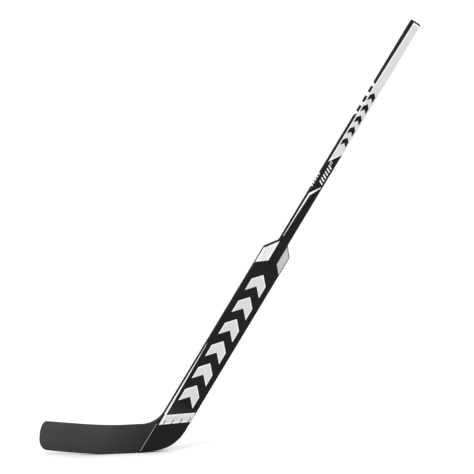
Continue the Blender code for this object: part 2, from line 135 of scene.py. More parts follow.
class StickSizes(bpy.types.PropertyGroup):
    """Sizes of the stick's body."""

    lie: slope("Lie", "Shaft against the ice", LIE)
    heel_point: length("Heel point", "Where the paddle's lower edge line meets the ice", 153 * MM)
    paddle_width: length("Paddle width", "Across the paddle's face", 80.5 * MM)
    paddle_half: length("Paddle half thickness", "Middle plane to a face", PADDLE_HALF - PRINT_ROOM)
    paddle_round: length("Paddle edge radius", "Rounding of the paddle's long edges", 3.5 * MM)
    heel_reach: length("Heel reach", "How far up the lower edge the heel curve starts", 69.5 * MM)
    seam_lap: length("Seam lap", "How far the paddle's laminate laps over the blade", 4.6 * MM)
    seam_round: length("Seam radius", "Rounding of that lap", 1.1 * MM)
    upper_shoulder: length("Upper shoulder", "Upper corner, up from the heel point", 633 * MM)
    lower_shoulder: length("Lower shoulder", "Lower corner, up from the heel point", 641 * MM)
    upper_neck: length("Upper neck", "Upper shoulder meets the shaft", 670 * MM)
    lower_neck: length("Lower neck", "Lower shoulder meets the shaft", 667.5 * MM)
    shoulder_round: length("Shoulder radius", "Rounding of the shoulder corners", 14 * MM)
    neck_round: length("Neck radius", "Hollow corner between a shoulder and the shaft", 9 * MM)
    collar_end: length("Collar end", "Where the paddle's laminate ends on the shaft", 700 * MM)
    shaft_width: length("Shaft width", "Wide side of the shaft", 30 * MM)
    shaft_half: length("Shaft half thickness", "From the middle plane to a wide side", SHAFT_HALF)
    shaft_round: length("Shaft corner radius", "Rounding of the shaft's corners", 5 * MM)
    shaft_wall: length("Shaft wall", "Wall of the hollow shaft", 1.8 * MM)
    shaft_offset: length("Shaft offset", "Shaft's centre line from the paddle's", 2.3 * MM)
    plug_flange: length("Plug flange", "Rim of the end plug", 4 * MM)
    toe_corner: length("Toe corner", "Where the toe's curve starts", -203.5 * MM)
    toe_top: length("Toe top", "Height of the blade at the toe", 99.8 * MM)
    toe_middle: length("Toe middle", "Height of the foremost point", 47 * MM)
    toe_bottom: length("Toe bottom", "Height of the sole at the toe", 16.4 * MM)
    blade_top: length("Blade top", "Lowest stretch of the top edge", 80.8 * MM)
    throat_round: length("Throat radius", "Between the top edge and the paddle", 76 * MM)
    curve_start: length("Curve start", "Where the blade starts to bend", 30 * MM)
    blade_heel_half: length("Blade heel half thickness", "Beside the paddle", 9 * MM)
    blade_toe_half: length("Blade toe half thickness", "At the toe", 3.3 * MM)
    blade_round: length("Blade edge radius", "Rounding of the blade's edges", 2.6 * MM)


class PrintSizes(bpy.types.PropertyGroup):
    """Sizes of the printed bands, bars and panels."""

    film: length("Film", "Thickness of a printed layer over the lacquer", 0.03 * MM)
    border: length("Border", "White outline of the silver chevrons", 2.4 * MM)
    chevron_start: length("Chevron start", "Middle of the paddle's first chevron", 164 * MM)
    chevron_pitch: length("Chevron pitch", "From one paddle chevron to the next", 73 * MM)
    chevron_count: number("Chevron count", "On each face of the paddle", 6)
    chevron_height: length("Chevron height", "Across the paddle", 48 * MM)
    chevron_length: length("Chevron length", "Of one arm, up the stick", 37 * MM)
    chevron_lead: length("Chevron lead", "How far a chevron's tip leads", 26 * MM)
    chevron_across: length("Chevron middle", "Middle of the row, across the stick", 88.5 * MM)
    badge_start: length("Badge start", "Middle of the shaft's first black chevron", 1004 * MM)
    badge_pitch: length("Badge pitch", "From one shaft chevron to the next", 37 * MM)
    badge_count: number("Badge count", "Black chevrons on each face of the shaft", 5)
    badge_height: length("Badge height", "Across the shaft", 18.5 * MM)


class StickColours(bpy.types.PropertyGroup):
    """Colours of the finishes, as linear values."""

    lacquer: colour("Lacquer", "Black of the shaft and paddle", (0.009, 0.009, 0.0093))
    panel: colour("Dark panel", "Dark grey print above the band", (0.026, 0.026, 0.0265))
    blade: colour("Blade", "Dark grey of the blade", (0.041, 0.041, 0.0415))
    # Painted shade: the blade's grey fades to this darker grey towards the heel, in place of the shade that
    # falls there
    blade_heel: colour("Blade heel", "The blade's grey where it meets the paddle", (0.022, 0.022, 0.0225))
    silver: colour("Silver", "Light grey print", (0.54, 0.54, 0.545))
    # Painted shade: the lower shoulder panel is white print given this grey in place of its shading; the
    # shoulder's pin lines are printed in the same grey
    shoulder_grey_and_painted_shade: colour("Shoulder grey", "Grey of the lower shoulder panel", (0.435, 0.43, 0.43))
    white: colour("White", "White print", (0.7, 0.7, 0.705))
    # Painted highlight: a light grey line along the edge of the laminate's lap beside the blade, in place of
    # the light that edge catches
    seam: colour("Seam", "Resin line where blade and paddle meet", (0.3, 0.3, 0.3))
    plug: colour("Plug", "Moulded end plug", (0.008, 0.008, 0.008))
    wood: colour("Wood", "Spine and blocks", (0.5, 0.34, 0.19))
    foam: colour("Foam", "Rigid core foam", (0.8, 0.77, 0.68))


class StageSettings(bpy.types.PropertyGroup):
    """Camera, lights and floor."""

    azimuth: slope("Azimuth", "Camera round the stick", math.radians(-13.1))
    elevation: slope("Elevation", "Camera above level", math.radians(7))
    distance: length("Distance", "Camera from the stick", 6.0)
    view_width: length("View width", "Width in view at the stick", 1.3403)
    key_power: power("Key power", "Main soft light", 60.0)
    fill_power: power("Fill power", "Soft light from the right", 16.0)


class Shape:
    """Places, outlines and thicknesses of the stick, worked out from its sizes.

    An outline is a list of (X, Z) places with the stick on its left. A place on the paddle or shaft is
    given by its distance across the stick and its height up the stick from the heel point.
    """

    def __init__(self, sizes):
        self.sizes = sizes
        self.sin = math.sin(sizes.lie)
        self.cos = math.cos(sizes.lie)
        self.along = Vector((self.cos, self.sin))
        self.across = Vector((self.sin, -self.cos))
        self.heel_level = sizes.heel_point * self.cos
        self.lower_edge = sizes.heel_point * self.sin
        self.upper_edge = self.lower_edge - sizes.paddle_width
        self.centre = (self.lower_edge + self.upper_edge) / 2
        self.shaft_centre = self.centre + sizes.shaft_offset
        self.shaft_low = self.shaft_centre - sizes.shaft_width / 2
        self.shaft_high = self.shaft_centre + sizes.shaft_width / 2
        butt_place = Vector((BUTT_POINT.x, BUTT_POINT.z))
        self.butt = butt_place.dot(self.along) - self.heel_level
        self.paddle_outline = self.paddle_edges()

    def place(self, across, up):
        return self.across * across + self.along * (self.heel_level + up)

    def across_of(self, place):
        return place.dot(self.across)

    def up_of(self, place):
        return place.dot(self.along) - self.heel_level

    # Edges

    def blade_top(self):
        z = self.sizes
        toe = Vector((z.toe_corner, z.toe_top))
        level = Vector((TOP_FLAT, z.blade_top))
        corner = Vector(((self.upper_edge + z.blade_top * self.cos) / self.sin, z.blade_top))
        throat = fillet(corner + self.along, corner, level, z.throat_round, 24)
        return throat + curve(level, TOP_HANDLES, toe, 20)

    def toe(self):
        z = self.sizes
        top = Vector((z.toe_corner, z.toe_top))
        middle = Vector((TOE_X, z.toe_middle))
        bottom = Vector((z.toe_corner, z.toe_bottom))
        return curve(top, TOE_HANDLES, middle, 16) + curve(middle, CHIN_HANDLES, bottom, 14)[1:]

    def sole(self):
        toe = Vector((self.sizes.toe_corner, self.sizes.toe_bottom))
        return curve(toe, SOLE_HANDLES, Vector((SOLE_FLAT[0], 0)), 18)

    def heel(self):
        end = self.place(self.lower_edge, self.sizes.heel_reach)
        handles = (HEEL_HANDLES[0], self.along * HEEL_HANDLES[1])
        return curve(Vector((SOLE_FLAT[1], 0)), handles, end, 30)

    def shoulder(self, edge, side, corner_up, neck_up, end):
        """One shoulder, from the paddle's straight edge up to the end of its collar on the shaft."""
        foot = self.place(edge, BELOW_SHOULDERS)
        corner = self.place(edge, corner_up)
        neck = self.place(side, neck_up)
        last = self.place(side, end)
        return (fillet(foot, corner, neck, self.sizes.shoulder_round, 12)
                + fillet(corner, neck, last, self.sizes.neck_round, 8) + [last])

    def paddle_edges(self):
        """The paddle's whole outline, its collar running on past its end so that it can be trimmed."""
        z = self.sizes
        beyond = z.collar_end + COLLAR_SPARE
        seam = self.upper_edge - z.seam_lap
        sole_seam = Vector((seam / self.sin, 0.0))
        outline = [sole_seam] + [p for p in self.heel() if p.x > sole_seam.x + 2 * MM]
        outline += self.shoulder(self.lower_edge, self.shaft_high, z.lower_shoulder, z.lower_neck, beyond)
        upper = self.shoulder(self.upper_edge, self.shaft_low, z.upper_shoulder, z.upper_neck, beyond)
        outline += reversed(upper)
        edges = (self.upper_edge, self.upper_edge, seam, seam)
        lap = [self.place(across, up) for across, up in zip(edges, LAP)]
        return divided(outline + bezier(lap, 12), 5 * MM)

    # Thicknesses

    def blade_middle(self, place):
        start = self.sizes.curve_start
        reach = max(0.0, start - place.x) / (start - TOE_X)
        return (TOE_Y - self.sizes.blade_toe_half) * reach**2

    def blade_half(self, place):
        seam = self.upper_edge / self.sin
        share = held((place.x - TOE_X) / (seam - TOE_X))
        return self.sizes.blade_toe_half + (self.sizes.blade_heel_half - self.sizes.blade_toe_half) * share

    def collar_share(self, place):
        """0 on the paddle and 1 where its laminate has become the shaft's section."""
        start, short = COLLAR
        t = held((self.up_of(place) - start) / (self.sizes.collar_end - short - start))
        return t * t * (3 - 2 * t)

    def paddle_half(self, place):
        z = self.sizes
        return z.paddle_half + (z.shaft_half - z.paddle_half) * self.collar_share(place)

    def paddle_round(self, place):
        z = self.sizes
        full = z.paddle_round + (z.shaft_round - z.paddle_round) * self.collar_share(place)
        share = 1 - (self.upper_edge - self.across_of(place)) / z.seam_lap
        return z.seam_round + (full - z.seam_round) * held(share)

    # Places on the surface, for the print. Across runs over a face, then on round the stick's corners.

    def on_section(self, low, high, half, radius, across, up, lift):
        """On a rounded rectangle, from its backhand face on round its corners to its other face."""
        flat = min(high - radius, max(low + radius, across))
        over = abs(across - flat)
        turn = 1 if across > flat else -1
        corner = radius * math.pi / 2
        side_face = 2 * (half - radius)
        if over <= corner:
            angle, down = over / radius, 0.0
        elif over <= corner + side_face:
            angle, down = math.pi / 2, over - corner
        else:
            angle, down = (over - side_face) / radius, side_face
        past = max(0.0, angle - math.pi) * radius
        angle = min(angle, math.pi)
        reach = radius + lift
        place = self.place(flat + turn * (reach * math.sin(angle) - past), up)
        return spot(place, radius - half + down - reach * math.cos(angle))

    def on_shaft(self, across, up, lift):
        z = self.sizes
        return self.on_section(
            self.shaft_low, self.shaft_high, z.shaft_half, z.shaft_round, across, up, lift)

    def on_edge(self, across, up, lift):
        """On the straight part of the paddle, round its long edges too."""
        middle = self.place(self.centre, up)
        half, radius = self.paddle_half(middle), self.paddle_round(middle)
        return self.on_section(self.upper_edge, self.lower_edge, half, radius, across, up, lift)

    def on_rounding(self, place, radius, inside, lift):
        """On the paddle's backhand face or its rounding, at a distance inside its outline."""
        over = min(radius, max(0.0, radius - inside))
        y = self.paddle_half(place) - radius + math.sqrt(radius**2 - over**2) + lift
        return spot(place, -y)

    def on_paddle(self, across, up, lift):
        """On a paddle face and a little way down the rounding of its outline."""
        place = self.place(across, up)
        return self.on_rounding(place, self.paddle_round(place), self.edge_distance(place), lift)

    def on_seam(self, across, up, lift):
        """On the edge of the paddle's laminate beside the blade."""
        inside = across - self.upper_edge + self.sizes.seam_lap
        return self.on_rounding(self.place(across, up), self.sizes.seam_round, inside, lift)

    def edge_distance(self, place):
        outline = self.paddle_outline
        distances = []
        for a, b in zip(outline, outline[1:] + outline[:1]):
            step = b - a
            share = held((place - a).dot(step) / step.length_squared)
            distances.append((place - a - step * share).length)
        return min(distances)


# Outlines

def spot(place, y=0.0):
    """An (X, Z) place as a point."""
    return Vector((place.x, y, place.y))


def held(share):
    return min(1.0, max(0.0, share))


def bezier(places, steps):
    return [p.to_2d() for p in interpolate_bezier(*[p.to_3d() for p in places], steps + 1)]


def curve(start, handles, end, steps):
    return bezier((start, start + handles[0], end + handles[1], end), steps)


def fillet(before, corner, after, radius, steps):
    """Arc that rounds the corner between two straight edges."""
    to_before = (before - corner).normalized()
    to_after = (after - corner).normalized()
    half = to_before.angle(to_after) / 2
    centre = corner + (to_before + to_after).normalized() * (radius / math.sin(half))
    reach = radius / math.tan(half)
    first = corner + to_before * reach - centre
    last = corner + to_after * reach - centre
    sweep = first.angle(last)
    return [centre + (first * math.sin(sweep * (1 - i / steps)) + last * math.sin(sweep * i / steps))
            / math.sin(sweep) for i in range(steps + 1)]


def inward(outline):
    """For each place of a closed outline, the step that moves both its edges in by one."""
    steps = []
    for i, place in enumerate(outline):
        before = (place - outline[i - 1]).normalized()
        after = (outline[(i + 1) % len(outline)] - place).normalized()
        normals = [Vector((-edge.y, edge.x)) for edge in (before, after)]
        middle = (normals[0] + normals[1]).normalized()
        steps.append(middle / middle.dot(normals[0]))
    return steps


def divided(outline, longest):
    """A closed outline with extra places on its long edges, so that its rounding changes evenly."""
    places = []
    for a, b in zip(outline, outline[1:] + outline[:1]):
        count = math.ceil((b - a).length / longest)
        places += [a.lerp(b, i / count) for i in range(count)]
    return places


# Meshes

def mesh_object(name, bm, material, sharp=math.radians(38)):
    """Turns a bmesh into a smooth-shaded piece at the origin."""
    mesh = bpy.data.meshes.new(name)
    bm.to_mesh(mesh)
    bm.free()
    mesh.materials.append(material)
    mesh.shade_smooth()
    mesh.set_sharp_from_angle(angle=sharp)
    obj = bpy.data.objects.new(name, mesh)
    bpy.context.scene.collection.objects.link(obj)
    return obj


def cut(bm, point, normal, **settings):
    bmesh.ops.bisect_plane(
        bm, geom=bm.verts[:] + bm.edges[:] + bm.faces[:], dist=ON_CUT,
        plane_co=point, plane_no=normal, **settings)


def cut_across(bm, axis, values):
    """Adds edge loops at places along the X axis, 0, or the Y axis, 1."""
    for value in values:
        cut(bm, (value * (axis == 0), value * (axis == 1), 0), (axis == 0, axis == 1, 0))


def slice_mesh(bm, places, direction):
    """Adds edge loops where planes square to the X-Z plane cross the mesh."""
    for place in places:
        cut(bm, spot(place), spot(direction))
    bmesh.ops.remove_doubles(bm, verts=bm.verts, dist=WELD)


def trim(bm, place, direction):
    """Cuts a body with a plane square to the X-Z plane, keeps the direction side and closes it."""
    cut(bm, spot(place), spot(direction), clear_inner=True)
    bmesh.ops.holes_fill(bm, edges=[edge for edge in bm.edges if edge.is_boundary])


def triangulate_large(bm):
    bmesh.ops.triangulate(bm, faces=[face for face in bm.faces if len(face.verts) > 4])


def close_rings(bm, rings):
    """Joins rings of vertices into a closed body."""
    for low, high in zip(rings, rings[1:]):
        for i in range(len(low)):
            n = (i + 1) % len(low)
            bm.faces.new((low[i], low[n], high[n], high[i]))
    bm.faces.new(list(reversed(rings[0])))
    bm.faces.new(rings[-1])
    bmesh.ops.recalc_face_normals(bm, faces=bm.faces)


def moulded_body(outline, radius_of, steps=7):
    """A flat body 2 x FLAT thick with the outline in the X-Z plane and rounded edges all round."""
    bm = bmesh.new()
    moves = inward(outline)
    angles = [math.pi / 2 * i / steps for i in range(steps + 1)]
    levels = [(1.35, 0.0)] + [(1 - math.sin(a), 1 - math.cos(a)) for a in angles]
    rings = []
    for side, order in ((-1, levels), (1, list(reversed(levels)))):
        for inside, under in order:
            ring = []
            for place, move in zip(outline, moves):
                radius = radius_of(place)
                point = place + move * (radius * inside)
                ring.append(bm.verts.new((point.x, side * (FLAT - radius * under), point.y)))
            rings.append(ring)
    close_rings(bm, rings)
    return bm


def give_thickness(bm, half_of, middle_of=None):
    """Moves a flat body's faces from FLAT to the real half thickness at each place."""
    for vertex in bm.verts:
        place = Vector((vertex.co.x, vertex.co.z))
        side = -1 if vertex.co.y < 0 else 1
        middle = middle_of(place) if middle_of else 0.0
        vertex.co.y = middle + side * (half_of(place) - (FLAT - abs(vertex.co.y)))


def flat_plates(*outlines):
    """Plates from level 0 to level 1, X up the stick and Y across it."""
    bm = bmesh.new()
    for outline in outlines:
        layers = [[bm.verts.new((up, across, level)) for across, up in outline] for level in (0.0, 1.0)]
        bm.faces.new(layers[0])
        bm.faces.new(layers[1])
        for i in range(len(outline)):
            n = (i + 1) % len(outline)
            bm.faces.new((layers[0][i], layers[0][n], layers[1][n], layers[1][i]))
    return bm


def lay_print(name, slot, bm, surface, ink, layer, ups=(), acrosses=(), sides=SIDES):
    """Lays flat plates on the stick as print, their outer faces lifted by their layer's thickness."""
    film = bpy.context.scene.stick_prints.film
    cut_across(bm, 0, ups)
    cut_across(bm, 1, acrosses)
    bmesh.ops.triangulate(bm, faces=bm.faces[:])
    bmesh.ops.recalc_face_normals(bm, faces=bm.faces)
    whole = bmesh.new()
    for side in sides:
        laid = bm.copy()
        for vertex in laid.verts:
            up, across, level = vertex.co
            point = surface(across, up, film * layer if level > 0.5 else -film)
            vertex.co = (point.x, -side * point.y, point.z)
        if laid.calc_volume(signed=True) < 0:
            bmesh.ops.reverse_faces(laid, faces=laid.faces)
        half = bpy.data.meshes.new(name + "_half")
        laid.to_mesh(half)
        laid.free()
        whole.from_mesh(half)
        bpy.data.meshes.remove(half)
    bm.free()
    finish_piece(mesh_object(name, whole, finish(ink)), slot)


def mm_plates(*outlines):
    """Flat plates with their outlines as (across, up) places in millimetres."""
    return flat_plates(*[[(across * MM, up * MM) for across, up in outline] for outline in outlines])


def bend_lines(radius, *corners):
    """Places across the stick where print bends round corners, each the flat's end and its turn."""
    return [flat + turn * radius * math.pi / 2 * i / 12 for flat, turn in corners for i in range(13)]


def finish_piece(obj, slot, *nodes):
    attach(obj, "root")
    if nodes:
        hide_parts(*nodes)


# Geometry Nodes

def new_tree(name, **inputs):
    """An empty Geometry Nodes tree with named inputs; returns it with its input sockets."""
    tree = bpy.data.node_groups.new(name, "GeometryNodeTree")
    tree.interface.new_socket("Geometry", in_out="OUTPUT", socket_type="NodeSocketGeometry")
    for label, value in inputs.items():
        kind = "NodeSocketInt" if isinstance(value, int) else "NodeSocketFloat"
        tree.interface.new_socket(label, in_out="INPUT", socket_type=kind).default_value = value
    tree.interface.new_socket("Material", in_out="INPUT", socket_type="NodeSocketMaterial")
    return tree, tree.nodes.new("NodeGroupInput").outputs


def feed(tree, node, values):
    """Links or sets a node's inputs by name or number."""
    for key, value in values.items():
        if isinstance(value, bpy.types.NodeSocket):
            tree.links.new(value, node.inputs[key])
        else:
            node.inputs[key].default_value = value


def add_node(tree, kind, values=None, **settings):
    """Adds a node, sets its properties and feeds its inputs."""
    node = tree.nodes.new(kind)
    for key, value in settings.items():
        setattr(node, key, value)
    feed(tree, node, values or {})
    return node


def vector(tree, **axes):
    return add_node(tree, "ShaderNodeCombineXYZ", axes).outputs[0]


def split(tree, source):
    return add_node(tree, "ShaderNodeSeparateXYZ", {0: source}).outputs


def joined(tree, *parts):
    node = tree.nodes.new("GeometryNodeJoinGeometry")
    for part in parts:
        tree.links.new(part, node.inputs[0])
    return node.outputs[0]


def closed_body(tree, face, offset):
    """Extrudes a flat face and closes the body behind it."""
    walls = add_node(tree, "GeometryNodeExtrudeMesh", {
        "Mesh": face, "Individual": False, "Offset Scale": 1.0, "Offset": offset})
    foot = add_node(tree, "GeometryNodeFlipFaces", {"Mesh": face})
    body = joined(tree, walls.outputs[0], foot.outputs[0])
    return add_node(tree, "GeometryNodeMergeByDistance", {"Geometry": body, "Distance": WELD}).outputs[0]


def end_tree(tree, geometry, material):
    real = add_node(tree, "GeometryNodeRealizeInstances", {"Geometry": geometry})
    painted = add_node(tree, "GeometryNodeSetMaterial", {"Geometry": real.outputs[0], "Material": material})
    tree.links.new(painted.outputs[0], tree.nodes.new("NodeGroupOutput").inputs[0])
    return tree


def math_node(tree, operation, *values):
    return add_node(tree, "ShaderNodeMath", dict(enumerate(values)), operation=operation).outputs[0]


def run_tree(tree, values):
    """Evaluates a tree on an empty mesh and returns the result as a bmesh."""
    mesh = bpy.data.meshes.new("tree_run")
    obj = bpy.data.objects.new("tree_run", mesh)
    bpy.context.scene.collection.objects.link(obj)
    modifier = obj.modifiers.new("Tree", "NODES")
    modifier.node_group = tree
    sockets = {item.name: item.identifier for item in tree.interface.items_tree if item.in_out == "INPUT"}
    for label, value in values.items():
        modifier[sockets[label]] = value
    bpy.context.view_layer.update()
    evaluated = obj.evaluated_get(bpy.context.evaluated_depsgraph_get())
    result = bpy.data.meshes.new_from_object(evaluated)
    bm = bmesh.new()
    bm.from_mesh(result)
    bpy.data.objects.remove(obj)
    bpy.data.meshes.remove(mesh)
    bpy.data.meshes.remove(result)
    return bm


def tube_tree():
    """A hollow bar of rounded-rectangle section from Start to End along Z."""
    tree, sockets = new_tree(
        "hollow_bar", Width=0.03, Thickness=0.02, Corner=0.005, Wall=0.002, Start=0.0, End=1.0)
    twice = math_node(tree, "MULTIPLY", sockets["Wall"], 2.0)
    inner = math_node(tree, "SUBTRACT", sockets["Corner"], sockets["Wall"])
    profiles = []
    for shrink, corner in ((0.0, sockets["Corner"]), (twice, inner)):
        rectangle = add_node(tree, "GeometryNodeCurvePrimitiveQuadrilateral", {
            "Width": math_node(tree, "SUBTRACT", sockets["Width"], shrink),
            "Height": math_node(tree, "SUBTRACT", sockets["Thickness"], shrink)})
        rounded = add_node(tree, "GeometryNodeFilletCurve", {
            "Curve": rectangle.outputs[0], "Radius": corner, "Count": 9}, mode="POLY")
        profiles.append(rounded.outputs[0])
    face = add_node(tree, "GeometryNodeFillCurve", {"Curve": joined(tree, *profiles)})
    raised = add_node(tree, "GeometryNodeTransform", {
        "Geometry": face.outputs[0], "Translation": vector(tree, Z=sockets["Start"])})
    rise = math_node(tree, "SUBTRACT", sockets["End"], sockets["Start"])
    body = closed_body(tree, raised.outputs[0], vector(tree, Z=rise))
    return end_tree(tree, body, sockets["Material"])


def bar_row_tree():
    """A row of thin plates along X: plain slanted bars, or chevrons where Chevron is 1."""
    tree, sockets = new_tree(
        "bar_row", Count=4, Pitch=0.05, Length=0.03, Height=0.05, Slant=0.02, Chevron=0.0,
        Rise=0.0, Thickness=0.0001)
    grid = add_node(tree, "GeometryNodeMeshGrid", {
        "Size X": sockets["Length"], "Size Y": sockets["Height"], "Vertices X": 2, "Vertices Y": 3})
    y = split(tree, tree.nodes.new("GeometryNodeInputPosition").outputs[0])[1]
    share = math_node(tree, "DIVIDE", y, sockets["Height"])
    tip = math_node(tree, "MULTIPLY_ADD", math_node(tree, "ABSOLUTE", share), -2.0, 0.5)
    bend = add_node(tree, "ShaderNodeMix", {"Factor": sockets["Chevron"], "A": share, "B": tip})
    lean = math_node(tree, "MULTIPLY", bend.outputs[0], sockets["Slant"])
    leaning = add_node(tree, "GeometryNodeSetPosition", {
        "Geometry": grid.outputs[0], "Offset": vector(tree, X=lean)})
    plate = closed_body(tree, leaning.outputs[0], vector(tree, Z=sockets["Thickness"]))
    line = add_node(tree, "GeometryNodeMeshLine", {
        "Count": sockets["Count"], "Offset": vector(tree, X=sockets["Pitch"], Y=sockets["Rise"])})
    row = add_node(tree, "GeometryNodeInstanceOnPoints", {"Points": line.outputs[0], "Instance": plate})
    return end_tree(tree, row.outputs[0], sockets["Material"])


def bar_row(start, middle, shrink=0.0, **values):
    """Flat plates in a row: the first bar's middle at a height and a distance across the stick."""
    tree = bpy.data.node_groups.get("bar_row") or bar_row_tree()
    height = values["Height"]
    values["Length"] -= shrink * 2 * math.hypot(height / 2, values["Slant"]) / (height / 2) * 0.99
    values["Height"] = height - 2 * shrink
    values["Slant"] *= values["Height"] / height
    bm = run_tree(tree, {**values, "Thickness": 1.0, "Material": finish("white_ink")})
    for vertex in bm.verts:
        up, over, level = vertex.co
        vertex.co = (start + up, middle - over, level)
    return bm


# Materials

def stick_space(tree):
    """Object coordinates turned so that X runs up the stick and Z lies across it."""
    coords = tree.nodes.new("ShaderNodeTexCoord").outputs["Object"]
    return add_node(tree, "ShaderNodeMapping", {"Vector": coords, "Rotation": (0.0, LIE, 0.0)}).outputs[0]


def noise(tree, space, scale, **settings):
    return add_node(tree, "ShaderNodeTexNoise", {"Vector": space, "Scale": scale, **settings}).outputs["Fac"]


def bump(tree, height, strength, depth):
    return add_node(tree, "ShaderNodeBump", {
        "Height": height, "Strength": strength, "Distance": depth}).outputs[0]


def mixed_colour(tree, factor, first, second):
    """Blends two colours. The numbers are those of the mix node's colour sockets."""
    return add_node(tree, "ShaderNodeMix", {0: factor, 6: first, 7: second}, data_type="RGBA").outputs[2]


def shade(rgb, factor=1.0):
    return (*[min(1.0, channel * factor) for channel in rgb], 1.0)


def scaled(tree, tone, factor):
    """A colour made lighter or darker over the surface."""
    return add_node(tree, "ShaderNodeVectorMath", {0: tone, "Scale": factor}, operation="SCALE").outputs[0]


def between(tree, value, low, high, to_low, to_high):
    """Maps a value from one range to another and holds it there."""
    return add_node(tree, "ShaderNodeMapRange", {
        "Value": value, "From Min": low, "From Max": high, "To Min": to_low, "To Max": to_high}).outputs[0]


def faded(tree, value, start, end, first, second):
    """A colour that turns from the first to the second as the value goes from start to end."""
    return mixed_colour(tree, between(tree, value, start, end, 0.0, 1.0), shade(first), shade(second))


def plain(name):
    """One of the set colours, the same all over."""
    return lambda tree: tuple(getattr(bpy.context.scene.stick_colours, name))


def blade_tone_with_painted_shade(tree):
    """Dark grey with painted shade and light: darker towards the heel and the sole, lighter towards the toe
    and the top edge, where light falls on the curved blade.
    """
    colours = bpy.context.scene.stick_colours
    x, _, z = split(tree, tree.nodes.new("ShaderNodeTexCoord").outputs["Object"])
    # Painted shade towards the heel, painted light towards the toe
    tone = faded(tree, x, -55 * MM, 70 * MM, colours.blade, colours.blade_heel)
    # Painted shade near the sole, painted light towards the top edge
    return scaled(tree, tone, between(tree, z, 10 * MM, 90 * MM, 0.86, 1.2))


def panel_tone(tree):
    """Dark grey that fades into the lacquer up the paddle."""
    colours = bpy.context.scene.stick_colours
    sizes = bpy.context.scene.stick_sizes
    up = split(tree, stick_space(tree))[0]
    foot = sizes.heel_point * math.cos(sizes.lie)
    return faded(tree, up, foot + 95 * MM, foot + 140 * MM, colours.panel, colours.lacquer)


def twill(tree, space, pitch):
    """Twill weave round the stick: the height of its tows, and 0 or 1 for the set on top."""
    up, out_of_face, across = split(tree, space)
    lines, cells = [], []
    for run in (up, math_node(tree, "ADD", across, out_of_face)):
        place = math_node(tree, "DIVIDE", run, pitch)
        cells.append(math_node(tree, "FLOOR", place))
        centred = math_node(tree, "MULTIPLY_ADD", math_node(tree, "FRACT", place), 2.0, -1.0)
        lines.append(math_node(tree, "SUBTRACT", 1.0, math_node(tree, "POWER", centred, 2.0)))
    turn = math_node(tree, "FLOORED_MODULO", math_node(tree, "ADD", *cells), 4.0)
    over = math_node(tree, "LESS_THAN", turn, 1.5)
    height = add_node(tree, "ShaderNodeMix", {"Factor": over, "A": lines[0], "B": lines[1]})
    return height.outputs[0], over


# Finishes: each returns the inputs of its Principled shader

def laminate(tree, tone_of, pitch, roughness, contrast, coat):
    """Woven laminate under lacquer: faint tows, cloudy tone, fine orange peel and rubbed patches."""
    space = stick_space(tree)
    height, over = twill(tree, space, pitch)
    cloud = noise(tree, space, 9.0, Detail=4.0)
    woven = between(tree, over, 0.0, 1.0, 1 - contrast, 1 + contrast)
    factor = math_node(tree, "MULTIPLY", woven, between(tree, cloud, 0.3, 0.7, 0.9, 1.1))
    peel = math_node(tree, "MULTIPLY", noise(tree, space, 900.0, Detail=2.0), 0.5)
    relief = math_node(tree, "MULTIPLY_ADD", height, 0.6, peel)
    return {
        "Base Color": scaled(tree, tone_of(tree), factor),
        "Roughness": between(tree, cloud, 0.3, 0.7, roughness - 0.05, roughness + 0.07),
        "Normal": bump(tree, relief, 0.12, 0.2 * MM),
        "Specular IOR Level": 0.0, "Coat Weight": coat, "Coat Roughness": 0.2}


def printed(tree, tone_of, hatch, specular=0.3):
    """Screen-printed ink: fine diagonal hatching, slight mottling and a dry, even surface."""
    space = stick_space(tree)
    up, _, across = split(tree, space)
    run = math_node(tree, "ADD", up, math_node(tree, "MULTIPLY", across, 0.6))
    wave = math_node(tree, "SINE", math_node(tree, "MULTIPLY", run, 2 * math.pi / HATCH_PITCH))
    mottle = noise(tree, space, 160.0, Detail=3.0)
    factor = math_node(tree, "MULTIPLY", between(tree, wave, -1.0, 1.0, 1 - hatch, 1.0),
                       between(tree, mottle, 0.3, 0.7, 0.97, 1.02))
    return {
        "Base Color": scaled(tree, tone_of(tree), factor),
        "Roughness": between(tree, mottle, 0.3, 0.7, 0.38, 0.48),
        "Normal": bump(tree, mottle, 0.08, 0.1 * MM), "Specular IOR Level": specular}


def moulded(tree, tone_of):
    """Matt moulded plastic with a fine spark-eroded grain."""
    space = stick_space(tree)
    cloud = noise(tree, space, 60.0, Detail=2.0)
    rgb = tone_of(tree)
    return {
        "Base Color": mixed_colour(tree, cloud, shade(rgb, 0.8), shade(rgb, 1.25)),
        "Roughness": math_node(tree, "MULTIPLY_ADD", cloud, 0.15, 0.5),
        "Normal": bump(tree, noise(tree, space, 1400.0, Detail=3.0), 0.25, 0.2 * MM),
        "Specular IOR Level": 0.15}


def planed_wood(tree, tone_of):
    """Planed wood with its grain running up the stick."""
    stretched = add_node(tree, "ShaderNodeMapping", {"Vector": stick_space(tree), "Scale": (6.0, 90.0, 90.0)})
    grain = noise(tree, stretched.outputs[0], 1.6, Detail=6.0, Distortion=0.8)
    rgb = tone_of(tree)
    return {
        "Base Color": mixed_colour(tree, grain, shade(rgb, 0.62), shade(rgb, 1.2)),
        "Roughness": math_node(tree, "MULTIPLY_ADD", grain, 0.2, 0.5),
        "Normal": bump(tree, grain, 0.3, 0.4 * MM)}


def foam(tree, tone_of):
    """Rigid closed-cell foam: small cells, dry surface."""
    cells = add_node(tree, "ShaderNodeTexVoronoi", {"Vector": stick_space(tree), "Scale": 700.0})
    wall = cells.outputs["Distance"]
    rgb = tone_of(tree)
    return {
        "Base Color": mixed_colour(tree, wall, shade(rgb), shade(rgb, 0.8)), "Roughness": 0.9,
        "Normal": bump(tree, wall, 0.5, 0.4 * MM)}


def pale_paint(tree):
    space = tree.nodes.new("ShaderNodeTexCoord").outputs["Object"]
    tone = mixed_colour(tree, noise(tree, space, 3.0), shade((0.95, 0.95, 0.95)), shade((0.97, 0.97, 0.97)))
    return {"Base Color": tone, "Roughness": 0.9, "Specular IOR Level": 0.1}


